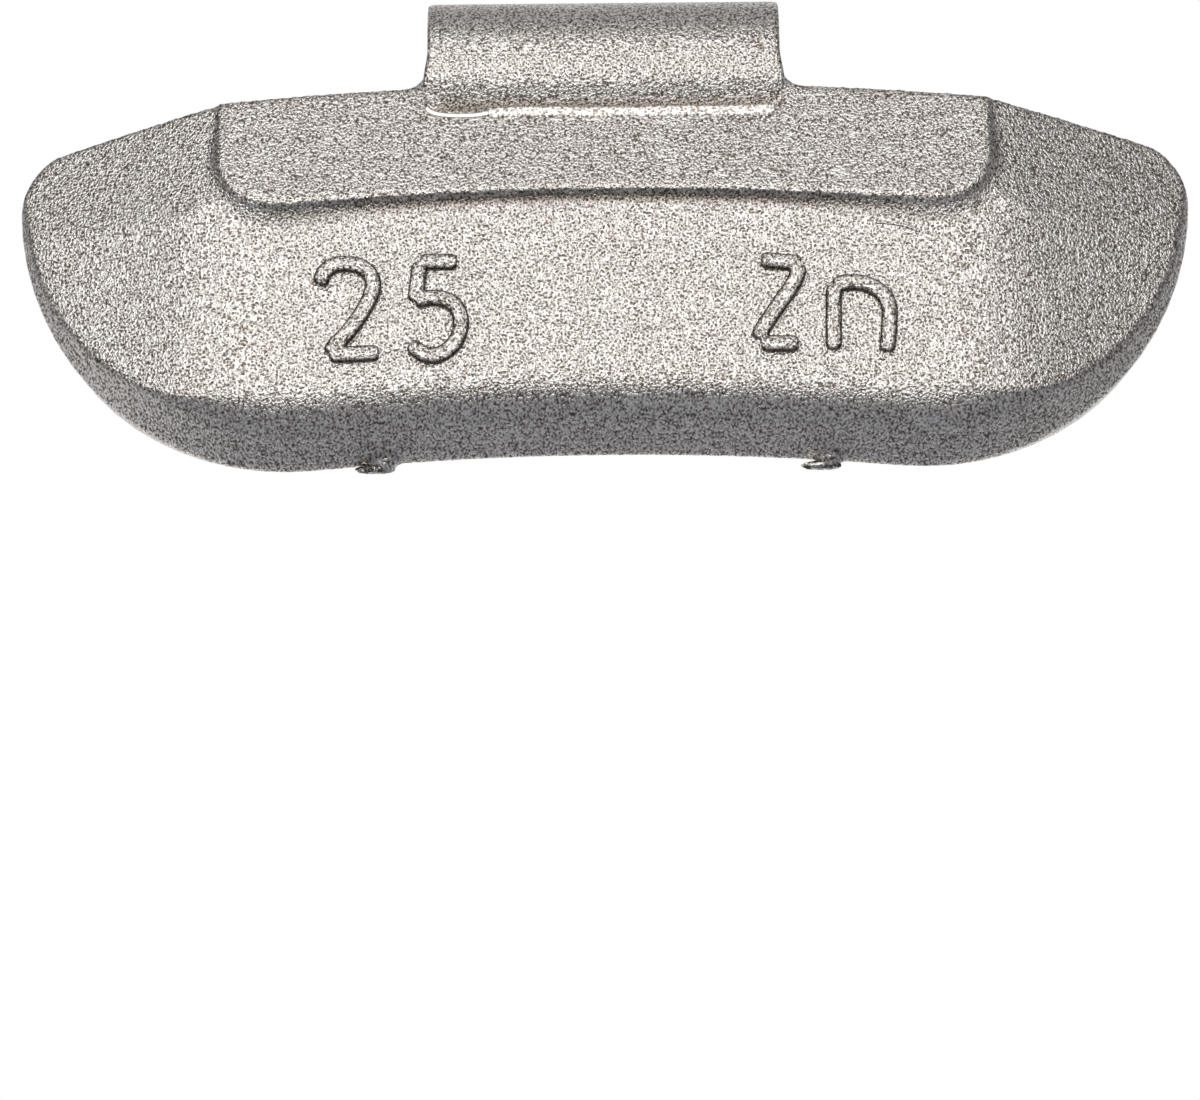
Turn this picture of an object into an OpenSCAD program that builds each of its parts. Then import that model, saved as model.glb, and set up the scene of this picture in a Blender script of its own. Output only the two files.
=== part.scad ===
/* [Casting] */
// Length of the casting along the rim
body_l = 48.2; // [44:0.1:60]
// Radius of the arc that the lower edge follows round the wheel axis
rim_edge_r = 130.4; // [110:1:260]
// Depth from the hook centre down to the lower edge
lower_edge_drop = 16.4; // [15:0.1:20]
// Distance of the flat front face in front of the hook centre
face_front = 3.5; // [3.3:0.1:4.2]
// Distance of the mould parting line in front of the hook centre
parting_front = 0.25; // [0:0.05:0.6]
// Radius of the rounded lower corners at the parting line
corner_r = 11.2; // [8:0.1:11.5]
// Radius of the upper end corners
end_top_r = 3; // [1.5:0.1:3.2]
// Draft angle of the front side wall
wall_draft = 25; // [15:1:32]
// Width of the land behind the parting line along the lower edge
parting_land = 0.15; // [0.05:0.05:0.5]
// Draft angle of the wall behind the parting line
back_draft = 6; // [2:1:10]
// Rounding between the front face and the side wall
face_edge_r = 2.05; // [1:0.05:2.5]

/* [Back of the casting] */
// Radius of the roll that lies against the rim
roll_r = 5.42; // [5:0.02:5.7]
// Distance of the roll's centre in front of the hook centre
roll_front = 1.29; // [1:0.01:1.6]
// Depth of the roll's top below the crest
roll_below = 0.82; // [0.8:0.01:1.2]
// Depth from the hook centre down to the crest
crest_drop = 1.12; // [1:0.01:1.3]
// Distance of the crest in front of the hook centre
crest_front = 2.63; // [2.5:0.01:2.8]
// Angle by which the upper front face leans back to the crest
face_lean = 9.2; // [8:0.1:10]

/* [Ends] */
// Distance from the middle at which the ends turn back
turn_x = 15.9; // [14:0.1:19]
// Angle by which the ends turn back towards the rim
turn_angle = 18; // [8:1:22]
// Radius of the bend from the front face to the turned end
turn_r = 14; // [6:0.5:20]
// Angle by which the upper half of a turned end leans back
end_lean = 9; // [6:0.5:12]
// Depth from the hook centre down to where the lean starts
lean_drop = 7; // [6.4:0.1:8]
// Distance by which the leaning end cut stays in front of the flat front face
lean_clear = 0.4; // [0.3:0.05:0.6]

/* [Pad over the clip root] */
// Half of the pad's width
pad_half = 15.8; // [12:0.05:16.4]
// Depth from the hook centre down to the pad's lower edge
pad_drop = 5.93; // [5:0.05:6.2]
// Angle by which the pad's face leans back
pad_lean = 13.4; // [12.6:0.1:14.4]
// Radius of the pad's lower corners
pad_corner_r = 2.2; // [1:0.1:2.8]
// Hollow radius at the foot of the pad's edge
pad_foot_r = 0.75; // [0.5:0.05:0.9]

/* [Boss on the back] */
// Half of the boss's width at its root
boss_half = 11.45; // [8:0.05:12.5]
// Radius of the boss's rolled top
boss_r = 3.2; // [2.8:0.05:3.4]
// Distance of the boss's roll centre behind the hook centre
boss_back = 1.92; // [1.6:0.02:2.2]
// Depth from the hook centre down to the boss's roll centre
boss_drop = 10.65; // [10.3:0.05:11]
// Length of the flat land under the boss's roll
boss_land = 1.95; // [1:0.05:2.2]
// Angle of the boss's underside below level
boss_under = 10; // [4:1:14]
// Rounding of the boss's lower edge
boss_edge_r = 0.7; // [0.3:0.05:0.9]
// Draft angle of the boss's ends
boss_draft = 5; // [2:1:8]

/* [Spring clip] */
// Width of the clip strip
clip_w = 14.5; // [10:0.5:16]
// Thickness of the clip strip
clip_t = 1; // [0.8:0.05:1.2]
// Inner radius of the hook bend
hook_r = 1.9; // [1.7:0.05:2.1]
// Angle by which the hook runs on below level at the front
root_angle = 32; // [24:1:38]
// Angle above level at which the lip starts
lip_start = 33; // [28:1:40]
// Angle above level at which the lip ends
lip_end = 13; // [8:1:20]
// Outer radius of the lip's curve
lip_r = 11.5; // [9:0.5:14]
// Width of the lip's corner chamfers
lip_chamfer_w = 0.95; // [0.5:0.05:1.5]
// Height of the lip's corner chamfers
lip_chamfer_h = 1.35; // [0.8:0.05:1.8]
// Diameter of the hole in the hook
hook_hole_d = 3.8; // [2.5:0.1:4.2]
// Angle of the hook hole's axis behind upright
hook_hole_tilt = 47.6; // [40:0.2:54]
// Depth of the cast-in tongue's end below the hook centre
tongue_drop = 12; // [10:0.1:13]
// Diameter of the two anchor holes in the tongue
anchor_d = 3; // [2:0.1:3.6]
// Distance of each anchor hole from the middle
anchor_x = 3.6; // [2.4:0.1:4.5]
// Depth of the anchor holes' centres below the hook centre
anchor_drop = 8.6; // [7:0.1:9.5]

/* [Cast details] */
// Depth below the hook centre at which the metal in front of the clip ends
collar_drop = 2.3; // [2.1:0.05:2.6]
// Radius of the metal that creeps up beside the clip
creep_r = 1.1; // [0.6:0.1:1.4]
// Depth of that metal from front to back
creep_depth = 0.85; // [0.5:0.05:0.9]
// Distance of its back in front of the hook centre
creep_back = 1.7; // [1.65:0.05:1.85]
// Distance of the gate nubs from the middle
nub_x = 9.1; // [6:0.1:11]
// Radius of the gate nubs
nub_r = 0.55; // [0.4:0.05:0.7]
// Height by which the gate nubs stand out
nub_h = 0.35; // [0.15:0.05:0.4]

/* [Hidden] */

// Sections are written as points [y, z] in the middle plane, x = 0.
// Turning a section round the wheel axis makes the arc of the rim.
axis_z = -(rim_edge_r + lower_edge_drop);
half_l = body_l / 2;

// Forms that cut or bound the casting run on past it by this reach, or at least by this margin
reach = 12;
margin = 2;

crest = [-crest_front, -crest_drop];
lower_edge = [-parting_front, -lower_edge_drop];
land_edge = lower_edge + parting_land * [1, tan(back_draft)];
roll_c = [-roll_front, -crest_drop - roll_below - roll_r];

function along(a, angle, d) = a + d * [cos(angle), sin(angle)];
function angle_to(c, p) = atan2(p[1] - c[1], p[0] - c[0]);

// Point where the line from p touches the circle of centre c, on the side s
function touch(p, c, r, s) =
    let (d = c - p, l = norm(d), a = atan2(d[1], d[0]) + s * asin(r / l))
    along(p, a, sqrt(l * l - r * r));

roll_top = touch(crest, roll_c, roll_r, 1);
roll_low = touch(land_edge, roll_c, roll_r, -1);

// Where the drafted wall meets the front face, and the rounding between them
wall_top = [-face_front, -lower_edge_drop + (face_front - parting_front) * tan(wall_draft)];
edge_run = face_edge_r * tan(45 - wall_draft / 2);
face_tangent = wall_top + [0, edge_run];
edge_c = face_tangent + [face_edge_r, 0];

// The land slopes down from the crest to the roll
land_slope = (roll_top[1] - crest[1]) / (roll_top[0] - crest[0]);
function land_z(y) = crest[1] + land_slope * (y - crest[0]);

// Lower corner circles touch the lower edge's arc
centre_dist = rim_edge_r + corner_r;
corner_x = half_l - corner_r;
corner_z = axis_z + sqrt(centre_dist * centre_dist - corner_x * corner_x);

// The upper end corners lie under the crest's arc
crest_r = -crest_drop - axis_z;
end_x = half_l - end_top_r;
end_z = axis_z + sqrt(pow(crest_r - end_top_r, 2) - end_x * end_x) - end_top_r * tan(turn_angle) / 2;

// Points of an arc from one angle to another
function arc(c, r, from, to, n) = [for (i = [0:n]) along(c, from + (to - from) * i / n, r)];

function mirrored(points) = [for (i = [len(points) - 1:-1:0]) [-points[i][0], points[i][1]]];

// Section point turned into radius and height for a revolve round the wheel axis
function on_rim(p) = [p[1] - axis_z, -p[0]];

rim_half_angle = asin((half_l + margin) / (rim_edge_r - margin));

module round_the_rim() {
    translate([0, 0, axis_z])
    rotate([90, 0, 0])
    rotate([0, 0, 90 - rim_half_angle])
    rotate_extrude(angle = 2 * rim_half_angle, $fn = 720)
    children();
}

function roll_arc() = arc(roll_c, roll_r, angle_to(roll_c, roll_top), angle_to(roll_c, roll_low), 20);

// Rounding from the wall to the face; its last chord runs on past the face, which the front cut trims
edge_steps = 8;
overrun = 0.2;
function edge_arc() =
    let (
        points = arc(edge_c, face_edge_r, 270 - wall_draft, 180, edge_steps),
        last = points[edge_steps],
        before = points[edge_steps - 1]
    )
    concat(
        [for (i = [0:edge_steps - 1]) points[i]],
        [last + (last - before) * overrun / (before[0] - last[0])]
    );

section_front = -face_front - margin / 2;

// Back of the casting with its crest and lower slope, and the upper front face that leans back to the crest
module back_section() {
    below = land_edge + margin * (land_edge - roll_low) / norm(land_edge - roll_low);
    lean_low = crest[1] + (section_front - crest[0]) / tan(face_lean);
    polygon([for (p = concat(
        [crest], roll_arc(),
        [below, [section_front, below[1]], [section_front, lean_low]]
    )) on_rim(p)]);
}

// The same land and back, open towards the front, for the pad
module pad_section() {
    polygon([for (p = concat(
        [[section_front, land_z(section_front)]], roll_arc(), [[section_front, roll_c[1]]]
    )) on_rim(p)]);
}

// Outline of the casting seen from the front, drawn in by an inset
lower_steps = 8;
corner_steps = 16;
function outline_loop(inset) =
    let (
        swing = asin(corner_x / centre_dist),
        lower = arc([0, axis_z], rim_edge_r + inset, 90, 90 - swing, lower_steps),
        corner = arc([corner_x, corner_z], corner_r - inset, 270 - swing, 360, corner_steps),
        side = concat([for (i = [1:lower_steps - 1]) lower[i]], corner, [[half_l - inset, reach / 4]])
    )
    concat([lower[0]], side, mirrored(side));

// Wall as a loft of inset outlines: [y, inset] from the front to the back
function wall_levels() =
    let (edge = edge_arc(), last = edge[edge_steps])
    concat(
        [[-face_front - margin, last[1] - lower_edge[1]]],
        [for (i = [edge_steps:-1:0]) [edge[i][0], edge[i][1] - lower_edge[1]]],
        [[lower_edge[0], 0], [reach, (reach - lower_edge[0]) * tan(back_draft)]]
    );

// Closed form through loops of points, from the front one to the back one
module loft(loops) {
    n = len(loops[0]);
    m = len(loops);
    polyhedron(
        points = [for (loop = loops, p = loop) p],
        faces = concat(
            [[for (i = [n - 1:-1:0]) i]],
            [for (k = [0:m - 2], i = [0:n - 1]) [k * n + i, k * n + (i + 1) % n, (k + 1) * n + i]],
            [for (k = [0:m - 2], i = [0:n - 1])
                [k * n + (i + 1) % n, (k + 1) * n + (i + 1) % n, (k + 1) * n + i]],
            [[for (i = [0:n - 1]) (m - 1) * n + i]]
        )
    );
}

module outline_form() {
    loft([for (level = wall_levels()) [for (p = outline_loop(level[1])) [p[0], level[0], p[1]]]]);
}

// Upper end corners, seen from the front; the first chord runs on outwards past the end
top_steps = 8;
chords_past = 3;
module end_corners() {
    points = arc([end_x, end_z], end_top_r, 0, 90 - turn_angle, top_steps);
    outside = points[0] + chords_past * (points[0] - points[1]);
    side = concat(
        [[half_l + margin, -2 * lower_edge_drop], [half_l + margin, outside[1]], outside],
        points,
        [[end_x - 2 * end_top_r, 0]]
    );
    rotate([90, 0, 0])
    linear_extrude(height = 3 * reach, center = true)
    polygon(concat(side, mirrored(side)));
}

// Plan of the front with both ends turned back
turn_steps = 6;
module front_plan(front) {
    knee_x = turn_x - (front - face_front) / tan(turn_angle);
    tip_x = half_l + margin;
    tip_y = -front + (tip_x - knee_x) * tan(turn_angle);
    bend_c = [knee_x - turn_r * tan(turn_angle / 2), -front + turn_r];
    side = concat(arc(bend_c, turn_r, 270, 270 + turn_angle, turn_steps), [[tip_x, tip_y], [tip_x, 2 * reach]]);
    polygon(concat(side, mirrored(side)));
}

module front_form() {
    linear_extrude(height = 4 * lower_edge_drop, center = true) front_plan(face_front);
}

module leaning_form() {
    translate([0, -face_front, -lean_drop])
    rotate([-end_lean, 0, 0])
    translate([0, face_front, 0])
    linear_extrude(height = 4 * lower_edge_drop, center = true) front_plan(face_front + lean_clear);
}

// Pad seen square to its face, grown by a distance; its origin is the crest
pad_steps = 12;
pad_corner_steps = 8;
function pad_loop(grow) =
    let (
        low_r = -pad_drop - axis_z,
        centre_z = -(pad_drop - crest_drop) / cos(pad_lean) - low_r,
        inner_x = pad_half - pad_corner_r,
        inner_z = centre_z + sqrt(pow(low_r + pad_corner_r, 2) - inner_x * inner_x),
        swing = asin(inner_x / (low_r + pad_corner_r)),
        low = arc([0, centre_z], low_r - grow, 90 + swing, 90 - swing, pad_steps),
        corner = arc([inner_x, inner_z], pad_corner_r + grow, 270 - swing, 360, pad_corner_steps),
        side = concat(corner, [[pad_half + grow, pad_corner_r]])
    )
    concat([for (i = [1:pad_steps - 1]) low[i]], side, mirrored(side));

// The pad's hollow edge between two slopes: [depth behind the face, growth of the outline]
foot_steps = 4;
foot_slopes = [20, 75];
function pad_levels() =
    let (foot = arc([0, 0], pad_foot_r, foot_slopes[0], foot_slopes[1], foot_steps))
    concat(
        [for (p = foot) [p[1] - foot[0][1], foot[0][0] - p[0]]],
        [[crest_front + margin, foot[0][0] - foot[foot_steps][0]]]
    );

module pad() {
    intersection() {
        round_the_rim() pad_section();
        translate([0, -crest_front, -crest_drop])
        rotate([-pad_lean, 0, 0])
        loft([for (level = pad_levels()) [for (p = pad_loop(level[1])) [p[0], level[0], p[1]]]]);
    }
}

module boss() {
    c = [boss_back, -boss_drop];
    lean = angle_to(land_edge, roll_low);
    land_top = along(c, lean - 90, boss_r);
    corner = along(land_top, lean + 180, boss_land);
    corner_run = boss_edge_r * tan((lean - boss_under) / 2);
    corner_c = along(along(corner, lean, corner_run), lean + 90, boss_edge_r);
    root = along(corner, 180 + boss_under, 4);
    intersection() {
        rotate([90, 0, 90])
        linear_extrude(height = body_l, center = true)
        polygon(concat(
            arc(c, boss_r, 120, lean - 90, 16),
            arc(corner_c, boss_edge_r, lean - 90, boss_under - 90, 6),
            [root]
        ));
        linear_extrude(height = 4 * lower_edge_drop, center = true)
        polygon([
            [-boss_half, -1], [boss_half, -1],
            [boss_half - reach * tan(boss_draft), reach], [-boss_half + reach * tan(boss_draft), reach]
        ]);
    }
}

// Metal that creeps up beside the clip, rooted below the crest
module clip_creep() {
    root = creep_r / 4;
    for (side = [0, 1]) mirror([side, 0, 0])
    translate([clip_w / 2, -creep_back, -crest_drop - root])
    rotate([90, 0, 0])
    linear_extrude(height = creep_depth)
    polygon(concat(
        [[0, -creep_r], [0, creep_r]],
        arc([creep_r, creep_r], creep_r, 180, 270, 8),
        [[creep_r, -creep_r]]
    ));
}

module gate_nubs() {
    nub_z = axis_z + sqrt(rim_edge_r * rim_edge_r - nub_x * nub_x) + nub_r - nub_h;
    for (side = [-1, 1]) translate([side * nub_x, -parting_front, nub_z]) sphere(r = nub_r, $fn = 32);
}

outer_r = hook_r + clip_t;
lip_c = along([0, 0], lip_start, outer_r - lip_r);
lip_tip = along(lip_c, lip_end, lip_r);
root_c = along([0, 0], 180 + root_angle, hook_r + outer_r);

// Depth by which the strip's section runs into the hook's round inside, which is bored after it
seam = 0.03;
hook_steps = 34;
bend_steps = 8;

// Strip of the clip in the middle plane, with the hook's inside left to be bored
module clip_section() {
    hook_step = (180 + root_angle - lip_start) / hook_steps;
    root_inner = arc(root_c, outer_r, 0, root_angle, bend_steps);
    lip_inner = arc(lip_c, lip_r - clip_t, lip_start, lip_end, bend_steps);
    polygon(concat(
        arc(lip_c, lip_r, lip_end, lip_start, bend_steps),
        arc([0, 0], outer_r, lip_start + hook_step, 180 + root_angle - hook_step, hook_steps - 2),
        arc(root_c, hook_r, root_angle, 0, bend_steps),
        [[root_c[0] + hook_r, -tongue_drop], [root_c[0] + outer_r, -tongue_drop]],
        [for (i = [0:bend_steps - 1]) root_inner[i]],
        [along([0, 0], 180 + root_angle, hook_r - seam), [0, 0], along([0, 0], lip_start, hook_r - seam)],
        [for (i = [1:bend_steps]) lip_inner[i]]
    ));
}

// The hole is punched while the strip is flat, so its upper side stays square to the bent strip
module hook_hole() {
    half_turn = hook_hole_d / (2 * hook_r + clip_t) * 180 / PI;
    intersection() {
        rotate([-hook_hole_tilt, 0, 0]) cylinder(d = hook_hole_d, h = 3 * outer_r, $fn = 64);
        rotate([half_turn - hook_hole_tilt, 0, 0])
        translate([-clip_w / 2, 0, -outer_r])
        cube([clip_w, 4 * outer_r, 4 * outer_r]);
    }
}

// Everything below and outside one of the lip's chamfered corners
module lip_chamfer() {
    inner = clip_w / 2 - lip_chamfer_w;
    low = lip_tip[1] - clip_t;
    high = lip_tip[1] + lip_chamfer_h;
    translate([0, lip_tip[0] + clip_t, 0])
    rotate([90, 0, 0])
    linear_extrude(height = 3 * clip_t)
    polygon([[inner, low], [inner, lip_tip[1]], [clip_w / 2, high], [clip_w, high], [clip_w, low]]);
}

module clip_solid() {
    difference() {
        rotate([90, 0, 90]) linear_extrude(height = clip_w, center = true) clip_section();
        rotate([0, 90, 0]) cylinder(r = hook_r, h = 2 * clip_w, center = true, $fn = 128);
        hook_hole();
        for (side = [-1, 1])
        translate([side * anchor_x, 0, -anchor_drop])
        rotate([90, 0, 0])
        cylinder(d = anchor_d, h = 3 * outer_r, $fn = 64);
        lip_chamfer();
        mirror([1, 0, 0]) lip_chamfer();
    }
}

module weight_body() {
    color("silver")
    difference() {
        union() {
            intersection() {
                round_the_rim() back_section();
                outline_form();
                end_corners();
                front_form();
                leaning_form();
            }
            pad();
            boss();
            clip_creep();
            gate_nubs();
        }
        // Gap in the metal in front of the clip
        translate([-clip_w / 2, -reach, -collar_drop]) cube([clip_w, reach - hook_r + clip_t / 3, reach]);
        clip_solid();
    }
}

module spring_clip() {
    color("darkgray") clip_solid();
}

weight_body();
spring_clip();
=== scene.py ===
import math
import random

import bpy
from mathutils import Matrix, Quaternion, Vector


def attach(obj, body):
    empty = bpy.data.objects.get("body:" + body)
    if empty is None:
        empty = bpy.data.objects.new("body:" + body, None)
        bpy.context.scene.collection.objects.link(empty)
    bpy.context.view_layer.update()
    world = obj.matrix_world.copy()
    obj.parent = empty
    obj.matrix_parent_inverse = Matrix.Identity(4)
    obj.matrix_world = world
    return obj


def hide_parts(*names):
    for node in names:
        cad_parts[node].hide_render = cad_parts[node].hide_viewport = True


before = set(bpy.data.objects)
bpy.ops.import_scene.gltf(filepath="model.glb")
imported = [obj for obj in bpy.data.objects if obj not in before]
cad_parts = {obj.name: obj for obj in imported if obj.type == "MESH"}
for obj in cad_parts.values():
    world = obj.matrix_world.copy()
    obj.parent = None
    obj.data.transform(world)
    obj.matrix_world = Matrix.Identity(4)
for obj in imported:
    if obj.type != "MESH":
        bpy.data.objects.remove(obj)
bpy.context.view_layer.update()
bpy.ops.object.select_all(action="DESELECT")

MM = 0.001


def linear(hex_colour):
    """An sRGB hex colour as the linear colour that a shader reads."""
    parts = [int(hex_colour[i : i + 2], 16) / 255 for i in (1, 3, 5)]
    return [c / 12.92 if c <= 0.04045 else ((c + 0.055) / 1.055) ** 2.4 for c in parts] + [1.0]


def share(value, start, end):
    """How far the value has come from start to end, from 0 to 1."""
    return min(max((value - start) / (end - start), 0.0), 1.0)


def eased(t):
    """The same share, but with a gentle start and end."""
    return t * t * (3 - 2 * t)


def add(tree, kind, settings=(), inputs=(), links=()):
    """A node with its settings, the values on its sockets and the links that come into it."""
    node = tree.nodes.new("ShaderNode" + kind)
    for name, value in dict(settings).items():
        setattr(node, name, value)
    for name, value in dict(inputs).items():
        node.inputs[name].default_value = value
    for name, source in dict(links).items():
        tree.links.new(source, node.inputs[name])
    return node


def only(piece):
    """Selects this piece alone and makes it the active one."""
    bpy.ops.object.select_all(action="DESELECT")
    piece.select_set(True)
    bpy.context.view_layer.objects.active = piece


def finish_with(piece, kind, **settings):
    """Adds a modifier with its settings and applies it."""
    only(piece)
    modifier = piece.modifiers.new(kind.title(), kind)
    for name, value in settings.items():
        setattr(modifier, name, value)
    bpy.ops.object.modifier_apply(modifier=modifier.name)


def copy_of(node, name):
    """A merged copy of a CAD node's mesh as a new piece."""
    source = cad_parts[node]
    mesh = bpy.data.meshes.new(name)
    mesh.from_pydata(
        [source.matrix_world @ v.co for v in source.data.vertices],
        [],
        [tuple(f.vertices) for f in source.data.polygons],
    )
    piece = bpy.data.objects.new(name, mesh)
    bpy.context.scene.collection.objects.link(piece)
    only(piece)
    bpy.ops.object.mode_set(mode="EDIT")
    bpy.ops.mesh.select_all(action="SELECT")
    bpy.ops.mesh.remove_doubles(threshold=0.002 * MM)
    bpy.ops.mesh.normals_make_consistent(inside=False)
    bpy.ops.object.mode_set(mode="OBJECT")
    return piece


def soften(piece, voxel, rounds):
    """Even small faces, and edges rounded as under a baked coat. The grid of the faces is
    laid askew to the piece, so that it leaves no steps along the straight edges."""
    askew = Quaternion((1, 2, 3), 0.7).to_matrix().to_4x4()
    piece.data.transform(askew)
    finish_with(piece, "REMESH", mode="VOXEL", voxel_size=voxel * MM, adaptivity=0.0)
    piece.data.transform(askew.inverted())
    finish_with(piece, "SMOOTH", factor=0.5, iterations=rounds)
    only(piece)
    bpy.ops.object.shade_smooth()


def coat_piece(piece, material):
    """Gives the piece its finish and fixes it to the part."""
    piece.data.materials.append(material)
    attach(piece, "root")


def mark_painted_shade(piece, depths):
    """Keeps on each point how deep it lies in a corner of the casting, from 0 to 1, which sets how much painted shade
    its coat gets.
    """
    marks = piece.data.attributes.new("hollow", "FLOAT", "POINT")
    marks.data.foreach_set("value", depths)


# Materials

# Distance between neighbouring grains of the coat, in mm, measured in the photograph
GRAIN = 0.098
# Painted shade: in the corners of the casting, this share of the coat's red, green and blue is left
HOLLOW_SHADE = (0.2, 0.16, 0.12)


def powder_coat(name, dark, peel_depth):
    """Silver-grey metallic powder coat, sprayed as powder and baked: a soft metal sheen on
    fine pale grains, with this dark colour in the network between them. In the corners of the
    casting the colour is darkened and browned as painted shade. The depth of the grain is in mm."""
    material = bpy.data.materials.new(name)
    material.use_nodes = True
    tree = material.node_tree
    shader = tree.nodes["Principled BSDF"]
    # The grains reach deeper into the surface than they are wide
    place = add(
        tree, "VectorMath", {"operation": "MULTIPLY"}, {1: (1, 0.5, 1)}, {0: add(tree, "TexCoord").outputs["Object"]}
    )
    grain = add(
        tree,
        "TexNoise",
        {"noise_dimensions": "3D", "normalize": True},
        {"Scale": 1 / (GRAIN * MM), "Detail": 1.0, "Roughness": 0.5, "Distortion": 0.0},
        {"Vector": place.outputs["Vector"]},
    )
    tone = add(tree, "ValToRGB", (), (), {"Fac": grain.outputs["Fac"]})
    tone.color_ramp.elements[0].position = 0.33
    tone.color_ramp.elements[0].color = linear(dark)
    tone.color_ramp.elements[1].position = 0.62
    tone.color_ramp.elements[1].color = linear("#fffaf4")
    # Painted shade in the hollows, mixed in by the hollow mark on each point
    shaded = add(tree, "VectorMath", {"operation": "MULTIPLY"}, {1: HOLLOW_SHADE}, {0: tone.outputs["Color"]})
    hollow = add(tree, "Attribute", {"attribute_name": "hollow", "attribute_type": "GEOMETRY"})
    colour = add(
        tree,
        "Mix",
        {"data_type": "RGBA"},
        (),
        {0: hollow.outputs["Fac"], 6: tone.outputs["Color"], 7: shaded.outputs["Vector"]},
    )
    peel = add(tree, "Bump", (), {"Strength": 1.0, "Distance": peel_depth * MM}, {"Height": grain.outputs["Fac"]})
    tree.links.new(colour.outputs[2], shader.inputs["Base Color"])
    tree.links.new(peel.outputs["Normal"], shader.inputs["Normal"])
    shader.inputs["Metallic"].default_value = 1.0
    shader.inputs["Roughness"].default_value = 0.33
    return material


def broken_zinc(name):
    """Bare zinc where the gate was snapped off: bright, torn and uneven."""
    material = bpy.data.materials.new(name)
    material.use_nodes = True
    tree = material.node_tree
    shader = tree.nodes["Principled BSDF"]
    torn = add(
        tree,
        "TexNoise",
        {"noise_dimensions": "3D", "normalize": True},
        {"Scale": 1 / (0.3 * MM), "Detail": 2.0, "Roughness": 0.6},
        {"Vector": add(tree, "TexCoord").outputs["Object"]},
    )
    tone = add(tree, "ValToRGB", (), (), {"Fac": torn.outputs["Fac"]})
    tone.color_ramp.elements[0].position = 0.42
    tone.color_ramp.elements[0].color = linear("#5a554f")
    tone.color_ramp.elements[1].position = 0.6
    tone.color_ramp.elements[1].color = linear("#f4f1ec")
    uneven = add(tree, "Bump", (), {"Strength": 1.0, "Distance": 0.2 * MM}, {"Height": torn.outputs["Fac"]})
    tree.links.new(tone.outputs["Color"], shader.inputs["Base Color"])
    tree.links.new(uneven.outputs["Normal"], shader.inputs["Normal"])
    shader.inputs["Metallic"].default_value = 1.0
    shader.inputs["Roughness"].default_value = 0.2
    return material


coat = powder_coat("powder_coated_zinc", "#6e6257", 0.06)
coat_steel = powder_coat("powder_coated_steel", "#6e6257", 0.06)
# The raised rim at the clip gets a paler coat, and its tongue a near-white smooth one: painted highlights where light
# catches them
rim_highlight_coat = powder_coat("rim_highlight_powder_coat", "#948b82", 0.035)
tongue_highlight_coat = powder_coat("tongue_highlight_powder_coat", "#f0ece6", 0.004)
bare_zinc = broken_zinc("broken_zinc")

# Casting

body = copy_of("weight_body", "cast_weight")
soften(body, 0.105, 16)


# A curve of this many 1 / mm counts as a sharp corner, and one under this share of it as flat
SHARP = 0.8
FLAT = 0.15


def corner_depths(piece, rounds):
    """How hollow the surface is at each point, from 0 to 1, evened out over the neighbours in
    this many rounds."""
    mesh = piece.data
    near = [[] for _ in mesh.vertices]
    for edge in mesh.edges:
        a, b = edge.vertices
        near[a].append(b)
        near[b].append(a)
    places = [v.co / MM for v in mesh.vertices]
    depths = []
    for v, others in zip(mesh.vertices, near):
        steps = [places[i] - places[v.index] for i in others]
        spread = sum(step.length_squared for step in steps)
        depths.append(2 * sum(steps, Vector()).dot(v.normal) / spread / SHARP)
    for _ in range(rounds):
        depths = [
            0.4 * depths[k] + 0.6 * sum(depths[i] for i in others) / len(others)
            for k, others in enumerate(near)
        ]
    return [min(max(d - FLAT, 0.0), 1.0) for d in depths]


# Painted shade darkens and browns the coat in the corner along the pad's foot. That fades out up
# the pad's sides, between these heights in mm,
FADED_AT = -2.6
FULL_AT = -4.8
# and towards its ends, between these distances from the middle, to this share.
END_FROM = 14.2
END_TO = 15.8
END_LEAST = 0.3
# The most painted shade that any point gets
DEEPEST_SHADE = 0.75
# Painted shade also lies under the pad's lip: in front of this y, above this z, and where the
# surface looks down by more than this much of its normal
LIP_FRONT = -3.35
LIP_BOTTOM = -8.6
LIP_DOWN = 0.55
LIP_GAIN = 2.5
# and as a painted shadow on a patch below the pad's left corner, with this middle and these half sizes
PATCH = (-12.2, -6.9)
PATCH_HALF = (2.3, 0.45)
PATCH_DEPTH = 0.5

depths = []
for v, corner in zip(body.data.vertices, corner_depths(body, 10)):
    x, y, z = v.co / MM
    lip = patch = 0.0
    if y < LIP_FRONT and z > LIP_BOTTOM:
        lip = LIP_GAIN * (-v.normal.z - LIP_DOWN)
    if y < LIP_FRONT and abs(z - PATCH[1]) < PATCH_HALF[1]:
        along, up = (x - PATCH[0]) / PATCH_HALF[0], (z - PATCH[1]) / PATCH_HALF[1]
        patch = PATCH_DEPTH * (1 - along**2) * (1 - up**2)
    end = max(share(abs(x), END_TO, END_FROM), END_LEAST)
    depths.append(min(max(corner, lip, patch), DEEPEST_SHADE) * share(z, FADED_AT, FULL_AT) * end)
mark_painted_shade(body, depths)
finish_with(body, "DECIMATE", ratio=0.34)
coat_piece(body, coat)
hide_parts("weight_body")

# Spring clip

clip = copy_of("spring_clip", "hook_clip")
soften(clip, 0.1, 22)
# Half the clip's width and its top, in mm, and the radii of its upper corners
CLIP_HALF = 7.25
CLIP_TOP = 2.9
WORN_RIGHT = 0.5
WORN_LEFT = 0.2
for v in clip.data.vertices:
    worn = WORN_RIGHT if v.co.x > 0 else WORN_LEFT
    rise = v.co.z / MM - (CLIP_TOP - worn)
    if rise > 0:
        most = CLIP_HALF - worn + math.sqrt(max(worn**2 - rise**2, 0.0))
        v.co.x = min(max(v.co.x, -most * MM), most * MM)
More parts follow.
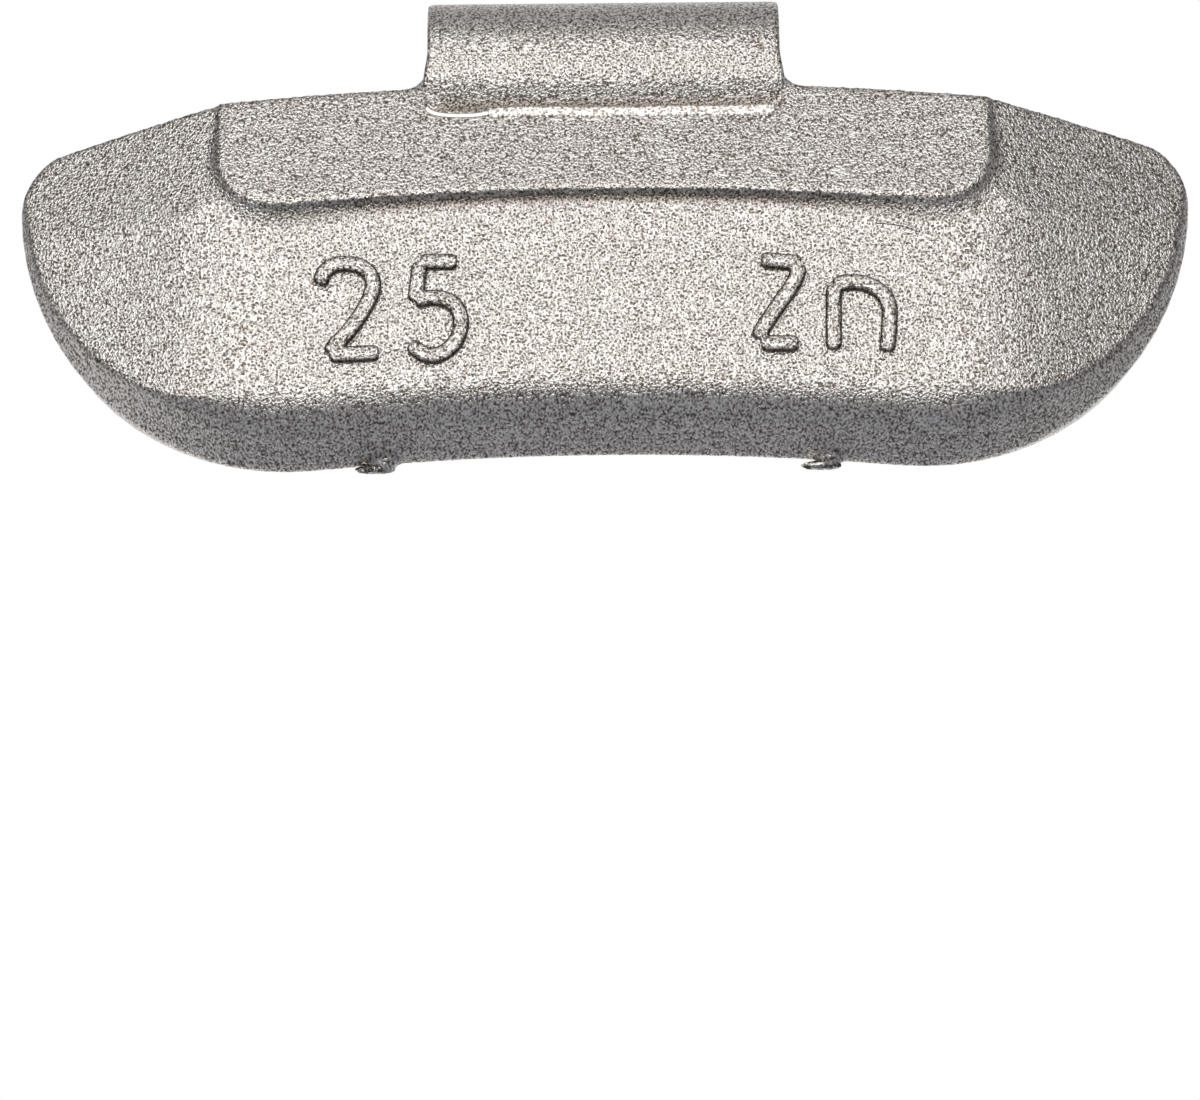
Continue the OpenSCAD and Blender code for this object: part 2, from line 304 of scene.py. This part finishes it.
# From this height down the clip grows wider, over a strip along each side, and its front
# comes forward to the rim of zinc
FOOT_FROM = 0.3
SIDE_STRIP = 0.6
WIDEST_AT = -1.3
WIDER = 0.2
FORWARD_AT = -2.2
FORWARD = 0.34
for v in clip.data.vertices:
    x, y, z = v.co / MM
    strip = (abs(x) - CLIP_HALF + SIDE_STRIP) / SIDE_STRIP
    if strip > 0 and z > -4:
        v.co.x += math.copysign(WIDER * eased(share(z, FOOT_FROM, WIDEST_AT)) * strip, x) * MM
    if y < -1.6 and z > -3:
        v.co.y -= FORWARD * eased(share(z, FOOT_FROM, FORWARD_AT)) * MM
# Above the rim its front lies in a narrow recess, darkened with painted shade
RECESS_FROM = -1.5
RECESS_TO = -2.2
RECESS_DEPTH = 0.7
depths = []
for v in clip.data.vertices:
    inside = share(abs(v.co.x) / MM, CLIP_HALF, CLIP_HALF - SIDE_STRIP)
    depths.append(RECESS_DEPTH * inside * eased(share(v.co.z / MM, RECESS_FROM, RECESS_TO)))
mark_painted_shade(clip, depths)
finish_with(clip, "DECIMATE", ratio=0.6)
coat_piece(clip, coat_steel)
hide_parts("spring_clip")

# Raised figures, letters and lines of the mould


def smooth_line(points, step):
    """Evenly spaced points of a smooth line through these points."""
    before = Vector(points[0]) * 2 - Vector(points[1])
    after = Vector(points[-1]) * 2 - Vector(points[-2])
    ends = [before, *map(Vector, points), after]
    fine = []
    for a, b, c, d in zip(ends, ends[1:], ends[2:], ends[3:]):
        for i in range(24):
            t = i / 24
            bend = (2 * a - 5 * b + 4 * c - d) * t * t + (3 * b - a - 3 * c + d) * t**3
            fine.append(0.5 * (2 * b + (c - a) * t + bend))
    fine.append(Vector(points[-1]))
    length = sum((q - p).length for p, q in zip(fine, fine[1:]))
    count = max(8, round(length / step))
    spaced, run, target = [fine[0]], 0.0, length / count
    for p, q in zip(fine, fine[1:]):
        while run + (q - p).length >= target - 1e-9 and len(spaced) < count:
            p = p + (q - p).normalized() * (target - run)
            run = 0.0
            spaced.append(p)
        run += (q - p).length
    return spaced + [fine[-1]]


# Under this share of their height the sides of a raised line get painted shade, fully so this much lower
DARK_UNDER = 0.86
DARK_OVER = 1 / 9


def raised_lines(name, strokes, face_y, half, relief, edge, voxel, dark_foot, finish):
    """Strokes with a flat top and steep sides that stand out of the surface at face_y and run
    into each other. Half is half their width and relief their height, in mm. A small edge makes
    the top flatter, and dark_foot is how much painted shade darkens the corner round them."""
    curve = bpy.data.curves.new(name, "CURVE")
    curve.dimensions = "3D"
    curve.bevel_depth = half * MM
    curve.bevel_resolution = 12
    curve.use_fill_caps = True
    for points in strokes:
        line = smooth_line(points, half / 8)
        spline = curve.splines.new("POLY")
        spline.points.add(len(line) - 1)
        length = sum((q - p).length for p, q in zip(line, line[1:]))
        run = 0.0
        for i, p in enumerate(line):
            run += (p - line[i - 1]).length if i else 0.0
            near = min(run, length - run) / half
            spline.points[i].co = (p.x * MM, face_y * MM, p.y * MM, 1)
            spline.points[i].radius = max(0.12, math.sqrt(1 - (1 - min(near + 0.25, 1)) ** 2))
    piece = bpy.data.objects.new(name, curve)
    bpy.context.scene.collection.objects.link(piece)
    only(piece)
    bpy.ops.object.convert(target="MESH")
    piece = bpy.context.object
    for v in piece.data.vertices:
        height = (face_y - v.co.y / MM) / half
        v.co.y = (face_y - relief * math.copysign(abs(height) ** edge, height)) * MM
    soften(piece, voxel, 2)
    tops = [(face_y - v.co.y / MM) / relief for v in piece.data.vertices]
    mark_painted_shade(piece, [dark_foot * share(t, DARK_UNDER, DARK_UNDER - DARK_OVER) for t in tops])
    coat_piece(piece, finish)
    return piece


# Half width and height of the characters on the flat front face
STROKE = 0.34
RELIEF = 0.35

# Strokes of 25, the mass in grams, and Zn for zinc: points [x, z] in mm on the face
CHARACTERS = {
    "figure_2": [
        [(-11.62, -9.94), (-11.46, -9.45), (-11.1, -9.16), (-10.57, -9.07), (-9.99, -9.19), (-9.59, -9.54),
         (-9.46, -10.0), (-9.63, -10.59), (-10.0, -11.26), (-10.49, -11.93), (-11.02, -12.51),
         (-11.24, -12.86)],
        [(-11.22, -12.91), (-9.24, -12.83)],
    ],
    "figure_5": [
        [(-7.55, -9.02), (-6.05, -9.04)],
        [(-7.55, -9.06), (-7.76, -10.68)],
        [(-7.76, -10.68), (-7.23, -10.55), (-6.59, -10.6), (-6.06, -10.98), (-5.9, -11.67), (-6.14, -12.41),
         (-6.71, -12.89), (-7.37, -12.92), (-7.97, -12.48)],
    ],
    "letter_Z": [
        [(6.33, -9.07), (7.96, -9.24)],
        [(7.91, -9.3), (7.65, -10.04), (6.99, -11.01), (6.33, -12.01), (6.19, -12.4)],
        [(6.28, -12.58), (7.81, -12.61)],
    ],
    "letter_n": [
        [(9.27, -10.18), (9.23, -12.86)],
        [(9.27, -10.19), (9.77, -10.07), (10.5, -10.11), (11.14, -10.45), (11.5, -11.05),
         (11.48, -12.06), (11.38, -12.96)],
    ],
}
FACE_Y = -3.5
for name, strokes in CHARACTERS.items():
    raised_lines(name, strokes, FACE_Y, STROKE, RELIEF, 0.42, 0.045, 1.0, coat)

# Rim of zinc that rose against the clip, on the leaning pad, with a thin tongue at the left
RIM_Y = -2.9
# Their pale coats are painted highlights
raised_lines(
    "clip_foot_rim",
    [[(-4.75, -2.54), (-2.63, -2.51), (-0.17, -2.55), (2.29, -2.52), (4.75, -2.52), (6.5, -2.5),
      (7.0, -2.44)]],
    RIM_Y, 0.23, 0.12, 0.2, 0.03, 0.0, rim_highlight_coat,
)
raised_lines(
    "clip_foot_tongue",
    [[(-7.3, -2.31), (-7.1, -2.5), (-6.73, -2.62), (-6.24, -2.67), (-5.66, -2.68), (-5.17, -2.65),
      (-4.72, -2.56)]],
    RIM_Y - 0.06, 0.105, 0.12, 0.2, 0.02, 0.0, tongue_highlight_coat,
)

# Cold line of the metal under the pad's right corner
raised_lines(
    "flow_line",
    [[(11.04, -7.49), (11.61, -7.54), (12.1, -7.63), (12.5, -7.76), (12.83, -7.89)]],
    FACE_Y + 0.01, 0.07, 0.06, 0.42, 0.02, 1.0, coat,
)

# Stubs of the two gates through which the metal came in, snapped off at the lower edge
STUBS = {"gate_stub_left": (-9.5, -0.27, -16.9), "gate_stub_right": (8.75, -0.27, -16.9)}
STUB_HALF = Vector((0.82, 0.3, 0.2))
STUB_SNAPPED_AT = -0.75
random.seed(7)
for name, place in STUBS.items():
    bpy.ops.mesh.primitive_uv_sphere_add(segments=48, ring_count=24, radius=1, location=(0, 0, 0))
    piece = bpy.context.object
    piece.name = name
    for v in piece.data.vertices:
        torn = 1 + random.uniform(-0.08, 0.08)
        v.co.z = max(v.co.z, STUB_SNAPPED_AT)
        v.co = (v.co * STUB_HALF * torn + Vector(place)) * MM
    soften(piece, 0.04, 2)
    coat_piece(piece, bare_zinc)

# Floor, light and camera


def backdrop_share(tree, behind):
    """How far a ray sees the white backdrop: the camera's rays and those through glass see it
    all over, and those that the metal mirrors where this value says that it is behind the part."""
    path = add(tree, "LightPath")
    shine = add(tree, "Math", {"operation": "MULTIPLY"}, (), {0: path.outputs["Is Glossy Ray"], 1: behind})
    rays = {0: path.outputs["Is Camera Ray"], 1: path.outputs["Is Transmission Ray"]}
    clear = add(tree, "Math", {"operation": "MAXIMUM"}, (), rays)
    both = add(tree, "Math", {"operation": "MAXIMUM"}, (), {0: clear.outputs[0], 1: shine.outputs[0]})
    return both.outputs[0]


def painted_board(name, colour, behind_from, behind_to):
    """Matt painted board, seen nearly white. The metal mirrors it as white only at the back,
    more and more between these two y, in metres."""
    material = bpy.data.materials.new(name)
    material.use_nodes = True
    tree = material.node_tree
    shader = tree.nodes["Principled BSDF"]
    shader.inputs["Base Color"].default_value = linear(colour)
    shader.inputs["Roughness"].default_value = 0.9
    place = add(tree, "SeparateXYZ", (), (), {"Vector": add(tree, "TexCoord").outputs["Object"]})
    behind = add(tree, "MapRange", (), {"From Min": behind_from, "From Max": behind_to}, {"Value": place.outputs["Y"]})
    glow = add(tree, "Emission", (), {"Color": (1, 1, 1, 1), "Strength": 1.0})
    seen = backdrop_share(tree, behind.outputs["Result"])
    white = add(tree, "Math", {"operation": "MULTIPLY"}, {1: 0.85}, {0: seen})
    mixed = add(tree, "MixShader", (), (), {0: white.outputs[0], 1: shader.outputs[0], 2: glow.outputs[0]})
    tree.links.new(mixed.outputs[0], tree.nodes["Material Output"].inputs["Surface"])
    return material


bpy.ops.mesh.primitive_plane_add(size=1.2, location=(0, 0, -0.45))
floor = bpy.context.object
floor.name = "floor"
floor.data.materials.append(painted_board("matt_white_board", "#c6c9d1", 0.4, 0.6))

# The photograph looks at the front from a little below
AIM = Vector((-0.34, 4.45, -19.27)) * MM
DISTANCE = 0.3
LIFT = math.radians(-13)

camera = bpy.data.objects.new("camera", bpy.data.cameras.new("camera"))
bpy.context.scene.collection.objects.link(camera)
camera.location = AIM + DISTANCE * Vector((0, -math.cos(LIFT), math.sin(LIFT)))
turn = (AIM - camera.location).to_track_quat("-Z", "Y")
camera.rotation_mode = "QUATERNION"
# The part lies turned by half a degree in the photograph
camera.rotation_quaternion = turn @ Quaternion((0, 0, 1), math.radians(-0.55))
camera.data.sensor_width = 36
camera.data.lens = 217
camera.data.clip_start = 0.01
camera.data.clip_end = 10
bpy.context.scene.camera = camera


def softbox(name, azimuth, elevation, distance, width, height, brightness):
    """A rectangular lamp that faces the part from this direction, in degrees, with its distance
    and size in metres. It looks as bright as this share of white."""
    data = bpy.data.lights.new(name, "AREA")
    data.shape = "RECTANGLE"
    data.size, data.size_y = width, height
    data.energy = brightness * math.pi * width * height
    lamp = bpy.data.objects.new(name, data)
    a, e = math.radians(azimuth), math.radians(elevation)
    lamp.location = Vector((math.sin(a) * math.cos(e), -math.cos(a) * math.cos(e), math.sin(e))) * distance
    lamp.rotation_mode = "QUATERNION"
    lamp.rotation_quaternion = (-lamp.location).to_track_quat("-Z", "Y")
    bpy.context.scene.collection.objects.link(lamp)


softbox("front_softbox", -7, 11, 0.5, 0.84, 0.46, 1.64)
softbox("top_softbox", 0, 74, 0.5, 0.5, 0.4, 0.3)
softbox("left_softbox", -120, -25, 0.6, 0.45, 0.45, 0.25)
softbox("rear_softbox", 180, 50, 0.6, 0.5, 0.3, 0.35)

# The studio round the part, from front to back: grey beside the lamps, as the dark wall of the
# casting mirrors it, and a white backdrop from the given share of the way on
STUDIO = ((0.0, "#6c6c6e"), (0.5, "#7e7e80"), (0.75, "#8a8c90"), (1.0, "#c8c8cc"))
BACKDROP_FROM = 0.85
world = bpy.data.worlds.new("studio")
bpy.context.scene.world = world
world.use_nodes = True
tree = world.node_tree
tree.nodes.clear()
direction = add(tree, "SeparateXYZ", (), (), {"Vector": add(tree, "TexCoord").outputs["Generated"]})
depth = add(tree, "MapRange", (), {"From Min": -1.0, "From Max": 1.0}, {"Value": direction.outputs["Y"]})
behind = add(tree, "MapRange", (), {"From Min": BACKDROP_FROM, "From Max": 1.0}, {"Value": depth.outputs["Result"]})
seen = backdrop_share(tree, behind.outputs["Result"])
shade = add(tree, "ValToRGB", (), (), {"Fac": depth.outputs["Result"]})
for place, colour in STUDIO:
    ends = shade.color_ramp.elements
    mark = ends.new(place) if 0 < place < 1 else ends[round(place) * (len(ends) - 1)]
    mark.color = linear(colour)
dim = add(tree, "Background", (), {"Strength": 1.0}, {"Color": shade.outputs["Color"]})
white = add(tree, "Background", (), {"Color": (1, 1, 1, 1), "Strength": 1.0})
mixed = add(tree, "MixShader", (), (), {0: seen, 1: dim.outputs[0], 2: white.outputs[0]})
add(tree, "OutputWorld", (), (), {"Surface": mixed.outputs[0]})

bpy.context.scene.view_settings.view_transform = "Standard"
